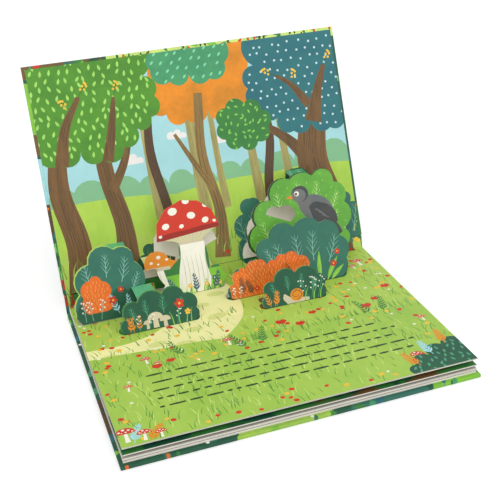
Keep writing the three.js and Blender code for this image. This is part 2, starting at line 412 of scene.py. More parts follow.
def dome(x, y, half, height, sag=0.1, n=16):
    """The cap of a toadstool: half an oval on a base that sags a little."""
    over = [(x + half * math.cos(math.pi * k / n), y + height * math.sin(math.pi * k / n)) for k in range(n + 1)]
    under = [(x + half * math.cos(math.pi * k / n),
        y - half * sag * math.sin(math.pi * k / n)) for k in range(n - 1, 0, -1)]
    return over + under


def leaf(x, y, turn, length, width, bend=0.0):
    """A pointed leaf that starts at x, y."""
    c, s = math.cos(turn), math.sin(turn)
    shape = [(0, 0), (0.25, 0.42), (0.5, 0.5), (0.78, 0.3), (1, 0), (0.78, -0.3), (0.5, -0.5), (0.25, -0.42)]
    points = []
    for a, b in shape:
        u, v = a * length, b * width + bend * length * a * (1 - a)
        points.append((x + u * c - v * s, y + u * s + v * c))
    return points


def inside(points, edges):
    """Which points lie inside the outlines made up of the edges."""
    if len(points) == 0:
        return np.zeros(0, bool)
    px, py = points[:, 0][:, None], points[:, 1][:, None]
    x0, y0, x1, y1 = edges.T
    cross = (y0 > py) != (y1 > py)
    with np.errstate(divide="ignore", invalid="ignore"):
        at = x0 + (py - y0) * (x1 - x0) / np.where(y1 == y0, 1, y1 - y0)
    return (cross & (px < at)).sum(1) % 2 == 1


def ring(points):
    p = np.array(points, float)
    return np.hstack([p, np.roll(p, -1, 0)])


def block(x, y0, y1):
    """A rectangle as wide as x to either side."""
    return [(-x, y0), (x, y0), (x, y1), (-x, y1)]


class Drawing:
    """Shapes in the order they are printed."""

    def __init__(self, seed):
        self.shapes = []
        self.dice = random.Random(seed)

    def field(self, colour, points, finish="plain", vary=0.0):
        """A shape of one colour, printed over what is there."""
        k = 1 + self.dice.uniform(-vary, vary)
        shade = [min(1.0, c * k) for c in colour]
        self.shapes.append((shade, FINISHES.index(finish), np.array(points, float)))

    def near(self, value, by):
        """The value, a little more or less."""
        return value + self.dice.uniform(-by, by)

    def scatter(self, region, step, margin=0.0):
        """Points spread evenly over a region, a little out of line."""
        edges = ring(region)
        low, high = np.min(region, 0), np.max(region, 0)
        points = []
        row, y = 0, low[1]
        while y < high[1]:
            x = low[0] + (row % 2) * step / 2
            while x < high[0]:
                points.append((self.near(x, step * 0.22), self.near(y, step * 0.2)))
                x += step
            y += step * 0.86
            row += 1
        kept = [p for p, ok in zip(points, inside(np.array(points), edges)) if ok]
        if margin:
            c = np.array(region)
            kept = [p for p in kept if np.min(np.hypot(*(c - p).T)) > margin]
        return kept

    def dashes(self, colour, region, centres, step, length, width, margin=1.5):
        """Short strokes that point away from the nearest of the centres."""
        for x, y in self.scatter(region, step, margin):
            centre = min(centres, key=lambda c: math.hypot(x - c[0], y - c[1]))
            if math.hypot(x - centre[0], y - centre[1]) < step * 0.8:
                continue
            turn = math.atan2(y - centre[1], x - centre[0]) + self.near(0, 0.2)
            size = self.near(length, length * 0.2) / 2
            c, s = math.cos(turn) * size, math.sin(turn) * size
            self.field(colour, band([(x - c, y - s), (x, y), (x + c, y + s)], [width * 0.5, width, width * 0.5], 1),
                vary=0.06)

    def twig(self, colour, x, y, turn, length, width=0.5, pairs=4, spread=0.6):
        """A bare twig with side twigs."""
        c, s = math.cos(turn), math.sin(turn)
        bow = self.near(0, 0.06) * length
        tip = (x + length * c, y + length * s)
        middle = (x + length * 0.5 * c - bow * s, y + length * 0.5 * s + bow * c)
        self.field(colour, band([(x, y), middle, tip], [width, width * 0.8, width * 0.35], 3))
        for k in range(pairs):
            t = (k + 0.8) / (pairs + 0.9)
            for side in (-1, 1):
                a = turn + side * (spread + self.near(0, 0.1))
                reach = length * (0.42 - 0.26 * t)
                u = t * length + side * 0.02 * length
                start = (x + u * c - bow * 4 * t * (1 - t) * s, y + u * s + bow * 4 * t * (1 - t) * c)
                end = (start[0] + reach * math.cos(a), start[1] + reach * math.sin(a))
                self.field(colour, band([start, end], [width * 0.75, width * 0.35], 1))

    def sprig(self, colour, x, y, turn, length, leaves=5, size=5.0, fat=0.34, stem=0.6, fold=0.75):
        """A stem with pointed leaves in pairs."""
        c, s = math.cos(turn), math.sin(turn)
        bow = self.near(0, 0.1) * length

        def at(t):
            rise = bow * 4 * t * (1 - t)
            return x + t * length * c - rise * s, y + t * length * s + rise * c

        self.field(colour, band([at(0), at(0.5), at(1)], [stem, stem * 0.8, stem * 0.5], 3))
        for k in range(leaves):
            t = 0.18 + 0.74 * k / max(1, leaves - 1)
            for side in (-1, 1):
                r = size * (1.05 - 0.45 * t)
                self.field(colour, leaf(*at(t), turn + side * (fold - 0.2 * t), r, r * fat), vary=0.05)
        self.field(colour, leaf(*at(1), turn, size * 0.6, size * 0.6 * fat))

    def buds(self, stem, bud, x, y, turn, length, count=5, size=1.0):
        """A thin stem with round buds."""
        c, s = math.cos(turn), math.sin(turn)
        self.field(stem, band([(x, y), (x + length * c, y + length * s)], [0.4, 0.25], 1))
        for k in range(count):
            t = 0.35 + 0.65 * k / max(1, count - 1)
            side = (-1) ** k
            a = turn + side * 0.6
            r = length * 0.2
            bx, by = x + t * length * c, y + t * length * s
            ex, ey = (bx + r * math.cos(a), by + r * math.sin(a)) if k < count - 1 else (bx, by)
            if k < count - 1:
                self.field(stem, band([(bx, by), (ex, ey)], [0.3, 0.2], 1))
            self.field(bud, oval(ex, ey, size / 2, size / 2, 0, 7), vary=0.06)

    def blade(self, colour, x, y, length, lean, width=0.55):
        """A blade of grass."""
        tip = (x + lean * length, y + length)
        middle = (x + lean * length * 0.3, y + length * 0.55)
        self.field(colour, band([(x, y), middle, tip], [width, width * 0.75, 0.12], 2), vary=0.1)

    def flower(self, colour, x, y, size):
        """A small bloom seen from the side, on no stem."""
        turn = self.near(0, 0.5)
        self.field(colour, oval(x, y, size * 0.55, size * 0.42, turn, 7), vary=0.06)

    def bloom(self, colour, x, y, size, petals=5, heart=None):
        """A round bloom of petals."""
        turn = self.near(0, 3)
        for k in range(petals):
            a = turn + 2 * math.pi * k / petals
            self.field(colour, oval(x + size * 0.3 * math.cos(a), y + size * 0.3 * math.sin(a), size * 0.26,
                size * 0.2, a, 8), vary=0.04)
        if heart:
            self.field(heart, oval(x, y, size * 0.14, size * 0.14, 0, 8))

    def poppy(self, colour, stem, x, y, size, lean=0.0):
        """A cup of petals on a thin stem."""
        self.field(stem, band([(x - lean * size, y - size * 2.6), (x - lean * size * 0.3, y - size), (x, y)],
            [0.35, 0.35, 0.4], 2))
        self.field(colour, lobed([
            (x - size * 0.55, y + size * 0.2), (x - size * 0.15, y - size * 0.35, 0.3),
            (x + size * 0.4, y - size * 0.2, 0.25), (x + size * 0.5, y + size * 0.3, 0.35),
            (x, y + size * 0.3, 0.3), (x - size * 0.55, y + size * 0.2, 0.3)], 4))

    def toadstool(self, x, y, size, lean=0.0):
        """A red cap with white spots on a white stem."""
        p = inks()
        self.field(p.white, band([(x, y), (x + lean * size * 0.3, y + size * 0.5),
            (x + lean * size * 0.5, y + size)], [size * 0.32, size * 0.22, size * 0.24], 3), "wash")
        cx, cy = x + lean * size * 0.5, y + size * 0.92
        self.field(p.red, dome(cx, cy - size * 0.05, size * 0.62, size * 0.5), "wash")
        for dx, dy, r in ((-0.36, 0.12, 0.09), (-0.08, 0.3, 0.11), (0.24, 0.2, 0.09), (0.05, 0.05, 0.07),
                (0.44, 0.04, 0.07), (-0.2, 0.02, 0.05)):
            self.field(p.white, oval(cx + dx * size, cy + dy * size, r * size, r * size * 0.8, 0, 8))

    def trunk(self, colour, points, widths, lines=4, line_ink=None):
        """A trunk or bough with grain lines that follow it."""
        self.field(colour, band(points, widths, 6), "bark", vary=0.04)
        centre, side, w = ribs(points, widths, 6)
        n = len(centre)
        for k in range(lines):
            place = -0.4 + 0.8 * (k + 0.5) / lines
            a = int(self.dice.uniform(0, n * 0.35))
            b = int(self.dice.uniform(n * 0.55, n))
            if b - a < 4:
                continue
            wave = self.dice.uniform(0, 6)
            line = [centre[i] + side[i] * w[i] * (place + 0.05 * math.sin(wave + i * 0.5)) for i in range(a, b, 2)]
            self.field(line_ink or inks().grain, band(line, [0.15, 0.45, 0.45, 0.15], 2))


def far_ground(d, p):
    """Sky, clouds, and what lies far off behind the trees."""
    d.field(p.sky, block(141, 40, 206), "wash")
    for x, y, r in ((-63, 112, 9), (-20, 128, 8), (24, 118, 8), (60, 132, 7)):
        d.field(p.cloud, lobed([(x - r, y), (x + r, y), (x + r * 0.5, y + r * 0.5, 0.5),
            (x - r * 0.3, y + r * 0.7, 0.5), (x - r, y, 0.5)]), "wash")
    d.field(p.far_tree, lobed([
        (-141, 70), (141, 70), (141, 92), (112, 96, 0.4), (86, 92, 0.4), (58, 90, 0.4), (34, 94, 0.35),
        (10, 88, 0.4), (-12, 94, 0.3), (-34, 90, 0.4), (-60, 95, 0.3), (-88, 92, 0.35), (-118, 96, 0.35),
        (-141, 92, 0.3)]), "wash")
    d.field(p.far_meadow, lobed([(-141, -206), (141, -206), (141, 82), (60, 84, 0.03), (-30, 80, 0.03),
        (-141, 85, 0.03)]), "meadow")
    for x, w, top in ((-48, 7, 150), (-6, 9, 160), (47, 8, 150), (78, 7, 140), (14, 6, 150)):
        d.trunk(p.pale_trunk, [(x + 2, 60), (x, 100), (x - 1, top)], [w * 1.25, w, w * 0.8], 4,
            [c * 0.7 for c in p.pale_trunk])


def meadow(d, p):
    """The meadow, from the foot of the trees to the front of the floor page, and its path."""
    d.field(p.meadow, lobed([(-141, -206), (141, -206), (141, 40), (90, 48, 0.06), (30, 40, 0.05), (-40, 46, 0.05),
        (-141, 42, 0.05)]), "meadow")
    path = [(-22, 60), (-20, 20), (-22, -20), (-30, -60), (-64, -90), (-104, -98), (-142, -94)]
    d.field(p.path, band(path, [10, 20, 44, 56, 52, 40, 34], 8), "wash")
    for x, y, r in ((-22, -8, 7), (-16, -30, 8), (-34, -44, 8), (-26, -66, 9), (-50, -78, 8), (-62, -96, 9),
            (-84, -88, 8), (-100, -104, 9), (-124, -92, 8)):
        d.field(p.path_patch, oval(x, y, r, r * 0.5, d.near(0, 0.15), 14), "wash")
    d.field(p.meadow_deep, lobed([(-141, -206), (141, -206), (141, -112), (100, -112, 0.03), (40, -108, 0.04),
        (-20, -104, 0.03), (-80, -96, 0.04), (-141, -90, 0.02)]), "meadow")


def trees(d, p):
    """An amber crown at the back, and the trunks and boughs before it."""
    amber = [(-34, 206), (-40, 168), (-26, 150, 0.35), (-8, 143, 0.35), (12, 149, 0.35), (32, 142, 0.35),
        (50, 154, 0.35), (60, 206)]
    d.field(p.amber, lobed(amber), "foliage")
    for colour, points, widths, lines in (
        (p.bark_dark, [(-42, 10), (-38, 60), (-46, 120), (-40, 170)], [12, 9, 8, 6], 3),
        (p.bark_light, [(4, 16), (8, 60), (0, 110), (5, 165)], [15, 10, 9, 8], 5),
        (p.bark_light, [(6, 78), (-8, 104), (-22, 132)], [7, 5, 3], 2),
        (p.bark, [(-84, 8), (-80, 60), (-88, 115), (-80, 175)], [24, 16, 14, 11], 7),
        (p.bark, [(-85, 92), (-70, 116), (-60, 146)], [9, 7, 5], 3),
        (p.bark_dark, [(62, 12), (58, 70), (66, 120), (60, 170)], [11, 9, 8, 7], 3),
        (p.bark, [(-126, -2), (-122, 50), (-130, 100), (-122, 150)], [26, 21, 18, 13], 8),
        (p.bark, [(108, -2), (113, 40), (104, 90), (112, 140), (108, 176)], [48, 36, 30, 24, 18], 13),
        (p.bark, [(102, 88), (86, 108), (70, 122), (52, 132)], [15, 10, 7, 4], 5),
    ):
        d.trunk(colour, points, widths, lines)


def crowns(d, p):
    """Crowns with their marks, and the boughs that reach into them."""
    # What turns a crown's marks is one angle for dots, and a range for leaves
    for colour, corners, step, margin, mark, turns, length, width in (
        (p.bright, [
            (-142, 206), (-142, 134), (-126, 122, 0.35), (-106, 130, 0.35), (-88, 120, 0.35), (-68, 128, 0.35),
            (-54, 142, 0.35), (-40, 150, 0.35), (-34, 168, 0.35), (-42, 186, 0.35), (-34, 206, 0.2)],
         8.5, 2.5, p.bright_mark, (0.9, 2.2), 5.5, 2.4),
        (p.teal, [
            (142, 206), (142, 126), (126, 116, 0.35), (108, 126, 0.35), (90, 118, 0.35), (76, 132, 0.35),
            (60, 144, 0.35), (52, 162, 0.35), (60, 182, 0.35), (54, 206, 0.2)],
         9, 2.5, p.teal_mark, 0, 1.1, 1.1),
        (p.mid_green, [
            (-30, 206), (-34, 190, 0.3), (-18, 178, 0.35), (0, 182, 0.35), (18, 176, 0.35), (34, 188, 0.35),
            (38, 206, 0.2)],
         9, 2, p.mid_vein, 0.8, 2.0, 1.0),
        (p.leaf_green, [
            (20, 134), (24, 120, 0.35), (38, 112, 0.35), (54, 114, 0.35), (66, 126, 0.35), (62, 142, 0.35),
            (46, 150, 0.35), (28, 148, 0.35), (20, 134, 0.35)],
         6.5, 2, p.leaf_mark, (0, 6.3), 4, 1.8),
    ):
        crown = lobed(corners)
        d.field(colour, crown, "foliage")
        for x, y in d.scatter(crown, step, margin):
            if isinstance(turns, tuple):
                d.field(mark, leaf(x, y, d.dice.uniform(*turns), length, width), vary=0.06)
            else:
                d.field(mark, oval(x, y, length, width, turns, 8), vary=0.05)
    for points, widths in (([(-124, 120), (-116, 150), (-100, 176)], [12, 8, 4]),
            ([(-84, 118), (-76, 146), (-70, 172)], [10, 7, 3]), ([(110, 124), (118, 150), (128, 174)], [16, 9, 4]),
            ([(108, 140), (94, 160), (80, 170)], [9, 5, 2.5])):
        d.trunk(p.bark, points, widths, 3)
    for x, y, t in ((-100, 176, 0.9), (-70, 172, 1.2), (-108, 164, 2.2), (128, 174, 1.0), (80, 170, 2.6),
            (96, 160, 1.4)):
        d.buds(p.dark_leaf, p.yellow, x, y, t, 13, 6, 2.4)


def undergrowth(d, p):
    """Bushes at the foot of the trees."""
    for x0, x1, h, colour, vein in ((-72, -46, 40, p.deep_green, p.deep_vein),
            (24, 50, 64, p.teal_bush, p.teal_vein), (72, 100, 84, p.deep_green, p.deep_vein),
            (112, 141, 54, p.teal_bush, p.teal_vein)):
        m, w = (x0 + x1) / 2, (x1 - x0)
        shape = lobed([(x0, 6), (x1, 6), (x1 + 2, h * 0.5, 0.25), (x1 - w * 0.2, h * 0.82, 0.35), (m, h, 0.4),
            (x0 + w * 0.2, h * 0.8, 0.4), (x0, h * 0.45, 0.35), (x0, 6, 0.25)])
        d.field(colour, shape, "foliage")
        for k in range(3):
            d.twig(vein, x0 + w * (0.25 + 0.25 * k), h * 0.3, 1.57 + 0.25 * (1 - k), h * 0.5, 0.5, 3)


def grass(d, p):
    """Blades all over the meadow, and a row of them above the bars."""
    for _ in range(sizes().grass):
        x, y = d.dice.uniform(-140, 140), d.dice.uniform(-204, 34)
        on_path = -31 < x + y * 0.02 < 0 and y > -60
        if on_path:
            continue
        colour = d.dice.choice((p.blade_dark, p.blade_dark, p.blade_light))
        d.blade(colour, x, y, d.dice.uniform(5, 12), d.near(0, 0.5), 0.75)
    for _ in range(70):
        x = d.dice.uniform(-60, 140)
        d.blade(p.blade_dark, x, -113 + 0.02 * x, d.dice.uniform(6, 13), d.near(0, 0.35), 0.8)


def bars(d, p):
    """Five rows of plain bars across the front of the floor page."""
    y, row_gap, word_gap, shortest = -128, 10.4, 2.0, 2.5
    for start, end in ((-104, 92), (-102, 106), (-104, 96), (-103, 110), (-104, 104)):
        x = start
        while x < end:
            w = min(end, x + d.dice.choice((5, 7, 9, 11, 14, 17))) - x
            if w > shortest:
                d.field(p.ink_dark, band([(x + 0.6, y), (x + w / 2, y), (x + w - 0.6, y)], [1.5, 2.3, 1.6], 2),
                    vary=0.15)
            x += w + word_gap
        y -= row_gap


def flowers(d, p):
    """Flowers, toadstools and sprigs of the floor page, and the bush in its corner."""
    for _ in range(sizes().flowers):
        x, y = d.dice.uniform(-138, 138), d.dice.uniform(-202, 24)
        on_bars = -112 < x < 116 and -182 < y < -122
        on_path = -50 < x < 0 and y > -80
        if on_bars or on_path:
            continue
        colour, size = d.dice.choice(((p.red, 4.4), (p.red, 3.6), (p.yellow, 4.6), (p.yellow, 3.8), (p.white, 2.6)))
        d.flower(colour, x, y, size)
        if colour is p.white:
            d.flower(colour, x + 2.2, y + 1.2, 1.8)
            d.flower(colour, x + 1.4, y - 1.6, 1.7)
    for x, y, s in ((-98, -112, 7), (-90, -118, 5), (-30, -112, 8), (-22, -116, 5.5), (124, -34, 9), (116, -38, 6),
            (100, -190, 9), (-120, -142, 6), (130, -140, 6)):
        d.toadstool(x, y, s, d.near(0, 0.3))
    for x, y, s in ((20, -96, 8), (34, -104, 7), (50, -92, 6), (96, -100, 8), (108, -92, 6), (-92, -118, 7),
            (-80, -114, 6), (126, -76, 7)):
        d.poppy(p.red, p.blade_dark, x, y, s, d.near(0, 0.5))
    for x, y, t in ((-18, -122, 1.9), (-4, -120, 1.3), (94, -114, 1.8), (106, -114, 1.3), (-66, -112, 1.9)):
        d.sprig(p.leaf_green, x, y, t, 23, 6, 7, 0.26, 0.6)
    corner = lobed([(141, -206), (88, -206), (92, -194, 0.45), (108, -186, 0.4), (124, -176, 0.4),
        (141, -172, 0.3)])
    d.field(p.deep_green, corner, "foliage")
    for x, y in d.scatter(corner, 7, 2.5):
        d.field(p.deep_vein, leaf(x, y, d.dice.uniform(0.8, 2.3), 5, 2), vary=0.06)
    for x, y, t, colour in ((96, -196, 1.9, p.amber), (112, -186, 1.7, p.cool_leaf), (128, -176, 1.5, p.amber),
            (-130, -202, 1.2, p.cool_leaf), (-120, -204, 0.9, p.amber)):
        d.sprig(colour, x, y, t, 18, 6, 7, 0.3, 0.7)
    for x, y, s in ((-134, -200, 12), (-122, -202, 9), (-110, -203, 7)):
        d.toadstool(x, y, s, d.near(0, 0.2))


def woodland(d):
    """The spread: trees above the gutter, meadow below it."""
    for part in (far_ground, meadow, trees, crowns, undergrowth, grass, bars, flowers):
        part(d, inks())


def bush(d, outline, colour, vein, rim, shift=(0.9, 0.4), twigs=()):
    """A bush that fills its plate, with a rim of another colour along one side."""
    d.field(rim, outline, "foliage")
    middle = np.mean(outline, 0)
    d.field(colour, [((x - middle[0]) * 0.985 + middle[0] + shift[0],
        (y - middle[1]) * 0.985 + middle[1] + shift[1]) for x, y in outline], "foliage")
    for x, y, turn, length in twigs:
        d.twig(vein, x, y, turn, length, 0.6, 4)


def left_bush(d, outline):
    p = inks()
    bush(d, outline, p.teal_bush, p.teal_vein, p.meadow, (0.6, -0.6),
        ((-122, 30, 1.7, 22), (-108, 36, 1.5, 20), (-96, 30, 1.3, 22), (-88, 22, 1.1, 16)))
    d.field(p.deep_green, lobed([(-136, -1), (-78, -1), (-80, 14, 0.3), (-92, 22, 0.4), (-106, 20, 0.35),
        (-120, 26, 0.35), (-132, 18, 0.35), (-136, -1, 0.2)]), "foliage")
    d.field(p.orange, lobed([(-128, 8), (-112, 8), (-108, 20, 0.35), (-113, 34, 0.3), (-123, 36, 0.4),
        (-130, 22, 0.3), (-128, 8, 0.2)]), "foliage")
    d.dashes(p.orange_mark, lobed([(-127, 10), (-112, 10), (-110, 20, 0.3), (-114, 32, 0.3), (-122, 34, 0.3),
        (-128, 20, 0.3)]), ((-120, 2),), 3.4, 2.6, 0.6, 1.0)
    for x, y, t, n in ((-102, 4, 1.9, 16), (-96, 3, 1.4, 14), (-88, 3, 1.2, 15)):
        d.sprig(p.cool_leaf, x, y, t, n, 5, 5, 0.3, 0.5)
    for x in (-131, -125, -118):
        d.buds(p.teal_vein, p.white, x, 2, 1.5 + d.near(0, 0.2), 16, 6, 1.4)
    for x, y, s in ((-106, 16, 7), (-84, 20, 6), (-98, 24, 5)):
        d.bloom(p.red, x, y, s, 5, p.yellow)


def front_left_bush(d, outline):
    p = inks()
    bush(d, outline, p.deep_green, p.deep_vein, p.leaf_green, (0.5, -0.8),
        ((-94, 8, 1.8, 14), (-84, 12, 1.6, 14), (-70, 12, 1.5, 15), (-58, 10, 1.2, 13)))
    for x, y, s in ((-78, 2, 11), (-70, 1, 8), (-85, 2, 6)):
        d.field(p.fawn, band([(x, y - 1), (x, y + s * 0.7)], [s * 0.45, s * 0.35], 2), "wash")
        d.field(p.fawn, dome(x, y + s * 0.6, s * 0.6, s * 0.5), "wash", 0.06)
    for x, t in ((-97, 1.9), (-92, 1.5), (-100, 1.3)):
        d.sprig(p.amber, x, 1, t, 11, 4, 4.5, 0.3, 0.5)
    for x in (-58, -52, -48, -63):
        d.blade(p.lime, x, 0, 12, d.near(0, 0.4), 0.9)
    d.bloom(p.red, -56, 17, 8, 5, p.yellow)
    d.bloom(p.yellow, -50, 9, 5, 5, p.orange)
    for x in (-92, -84, -60):
        d.buds(p.deep_vein, p.white, x, 1, 1.5 + d.near(0, 0.3), 12, 5, 1.2)


def toadstools(d, outline):
    """A clump of toadstools in grass, in the middle of the spread."""
    p = inks()
    d.field(p.leaf_green, outline, "foliage")
    d.field(p.lime, [(-60, -1), (2, -1), (2, 19), (-60, 19)], "foliage")
    d.field(p.red, [(-62, 49), (-30, 47), (4, 52), (4, 95), (-62, 95)], "wash")
    stem = lobed([(-45, -1), (-18, -1), (-15, 12, 0.05), (-16, 40, -0.06), (-16, 48), (-39, 48), (-40, 30, -0.05),
        (-45, -1, 0.04)])
    d.field(p.white, stem, "wash")
    for k in range(6):
        x = -38 + 4 * k
        d.field(p.fawn, band([(x, 4), (x + 0.6, 20), (x, 34)], [0.3, 0.6, 0.2], 3))
    gills = lobed([(-56, 51), (-2, 55, 0), (-17, 44, -0.08), (-39, 44, 0), (-56, 51, -0.06)])
    d.field(p.fawn, gills, "wash")
    for k in range(12):
        x = -52 + 4.2 * k
        d.field(p.path_patch, band([(-28 + (x + 28) * 0.55, 46), (x, 52.5)], [0.35, 0.6], 1))
    d.field(p.deep_red, lobed([(-60, 49.5), (2, 54.5), (2, 57, 0), (-30, 56, 0.04), (-60, 53, 0.04)], 6), "wash")
    for x, y, r in ((-48, 62, 3.4), (-34, 60, 2.2), (-40, 74, 4.2), (-24, 68, 3.8), (-27, 81, 3.2), (-12, 62, 3.2),
            (-10, 75, 2.6), (-54, 54, 1.6), (-4, 60, 1.6)):
        d.field(p.white, oval(x, y, r, r * 0.8, d.near(0, 0.3), 12), "wash")
    # The small one at its side
    d.field(p.white, band([(-56, -1), (-58, 14), (-60, 28)], [9, 7.5, 6], 4), "wash")
    d.field(p.fawn, band([(-57.5, 2), (-59, 14), (-60.5, 25)], [0.4, 0.6, 0.3], 3))
    d.field(p.amber, lobed([(-73, 25.6), (-50, 25.6, 0), (-40, 33.5, 0), (-44, 48, 0), (-73, 48, 0)]), "wash")
    d.field(p.fawn, [(-71, 25), (-50, 25), (-50, 28), (-71, 28.5)], "wash")
    for x, y, r in ((-66, 33, 1.5), (-59, 37, 2.0), (-60, 31, 1.1), (-52, 34, 1.3)):
        d.field(p.white, oval(x, y, r, r * 0.8, 0, 9), "wash")
    for _ in range(34):
        d.blade(d.dice.choice((p.leaf_green, p.blade_light, p.lime)), d.dice.uniform(-57, -4), -1,
            d.dice.uniform(6, 15), d.near(0, 0.3), 1.0)
    for x, y in ((-50, 8), (-12, 10), (-8, 5), (-20, 6), (-35, 7)):
        d.bloom(p.yellow if x % 3 else p.slate, x, y, 4.5, 5, p.white)
    for x, t in ((-14, 1.2), (-48, 1.9), (-30, 1.6)):
        d.sprig(p.slate, x, 0, t, 15, 5, 5, 0.36, 0.5)


def tall_bush(d, outline):
    p = inks()
    bush(d, outline, p.bush_green, p.bush_vein, p.ink_dark, (1.3, 0.0), (
        (46, 30, 1.9, 22), (60, 52, 1.7, 22), (76, 58, 1.5, 22), (94, 58, 1.4, 20), (108, 50, 1.1, 18),
        (58, 20, 1.8, 24), (42, 14, 2.0, 18), (104, 34, 1.0, 18), (86, 38, 1.5, 20)))
    d.dashes(p.bright_mark, outline, ((76, 20),), 9, 2.4, 0.6, 4)
    # A grey pigeon among the leaves
    dark = [c * 0.4 for c in p.stone]
    d.field(dark, band([(96, 50), (106, 36), (112, 26)], [14, 10, 8], 4), "foliage")
    d.field(p.stone, oval(94, 53, 17, 12, -0.6, 22), "foliage")
    d.field(p.stone, band([(80, 67), (85, 58), (92, 50)], [12, 17, 20], 4), "foliage")
    d.field(dark, oval(79, 69, 8.2, 7.4, 0, 20), "foliage")
    d.field(p.stone, oval(77.8, 67.6, 7, 6, 0, 18), "foliage")
    d.field(dark, lobed([(86, 56), (98, 58, 0.2), (112, 38, 0.2), (100, 42, 0.1), (88, 47, 0.3)]), "foliage")
    for k in range(3):
        d.field(p.stone, band([(92 + 3 * k, 53 - 3 * k), (98 + 3 * k, 49 - 3 * k)], [1.6, 0.6], 2))
    d.field(p.amber, [(71.5, 69.5), (64.5, 66.8), (71.6, 65.6)])
    d.field(p.white, oval(76, 69.6, 2.3, 2.3, 0, 14))
    d.field(p.grain, oval(75.4, 69.4, 1.2, 1.2, 0, 12))
    for x, y, s in ((44, 14, 6), (58, 22, 5), (52, 6, 4)):
        d.bloom(p.red, x, y, s, 5, p.yellow)
    for x, t in ((40, 1.9), (48, 1.4), (56, 1.7)):
        d.sprig(p.lime, x, 4, t, 16, 5, 5, 0.26, 0.5)


def middle_bush(d, outline):
    p = inks()
    bush(d, outline, p.teal_bush, p.teal_vein, p.deep_green, (0.8, 0.5), (
        (46, 14, 1.8, 28), (60, 18, 1.6, 28), (74, 20, 1.45, 27), (88, 16, 1.2, 26), (38, 22, 2.0, 18)))
    front = lobed([(-6, -1), (70, -1), (68, 14, 0.3), (60, 27, 0.35), (48, 30, 0.3), (38, 27, 0.25), (30, 23, 0.3),
        (18, 30, 0.3), (4, 24, 0.3), (-6, 10, 0.3)])
    d.field(p.orange, front, "foliage")
    d.dashes(p.orange_mark, front, ((30, -30),), 3.6, 3.0, 0.7, 1.0)
    for x, y, t, n in ((6, 3, 1.7, 14), (14, 1, 1.9, 13)):
        d.sprig(p.bark_dark, x, y, t, n, 7, 5, 0.22, 0.5)
    for x, t in ((-2, 1.7), (2, 1.4)):
        d.buds(p.fawn, p.white, x, 1, t, 9, 5, 1.2)
    for x, y, t, n in ((74, 0, 2.0, 22), (78, 0, 1.5, 28), (84, 0, 1.0, 24), (88, 0, 0.7, 18)):
        d.field(p.lime, leaf(x, y, t, n, 4.2, 0.1), "foliage", 0.08)
        d.field(p.blade_light, band([(x, y), (x + n * 0.8 * math.cos(t), y + n * 0.8 * math.sin(t) + 0.6)],
            [0.4, 0.2], 1))
    for x, y, s in ((92, 14, 6), (18, 6, 5), (97, 24, 5)):
        d.bloom(p.red, x, y, s, 5, p.yellow)


def low_bush(d, outline):
    p = inks()
    bush(d, outline, p.deep_green, p.deep_vein, p.leaf_green, (0.4, -0.5),
        ((28, 8, 1.9, 14), (38, 12, 1.6, 13), (50, 12, 1.4, 13), (60, 8, 1.1, 12)))
    for x, t in ((21, 1.9), (26, 1.5), (24, 1.2)):
        d.sprig(p.amber, x, 1, t, 11, 4, 4.5, 0.3, 0.5)
    # A snail among the leaves
    d.field(p.fawn, lobed([(36, 0), (55, 0), (56, 3, 0.2), (50, 4, 0), (40, 5, 0), (35, 9, 0), (33, 8, 0.4),
        (34, 3, 0.2)]), "wash")
    d.field(p.amber, oval(45, 7, 6, 5.4, 0, 18), "wash")
    d.field(p.bark, band([(45, 2.4), (50, 7), (45, 11), (41, 7.5), (44.6, 5), (47, 7)],
        [0.5, 0.7, 0.7, 0.6, 0.4, 0.3], 5))
    for x, t in ((56, 1.9), (60, 1.5), (64, 1.2), (58, 1.3)):
        d.buds(p.deep_vein, p.white, x, 1, t, 18, 6, 1.3)
    for x in (52, 60, 66):
        d.blade(p.lime, x, 0, 12, 0.4, 1.1)


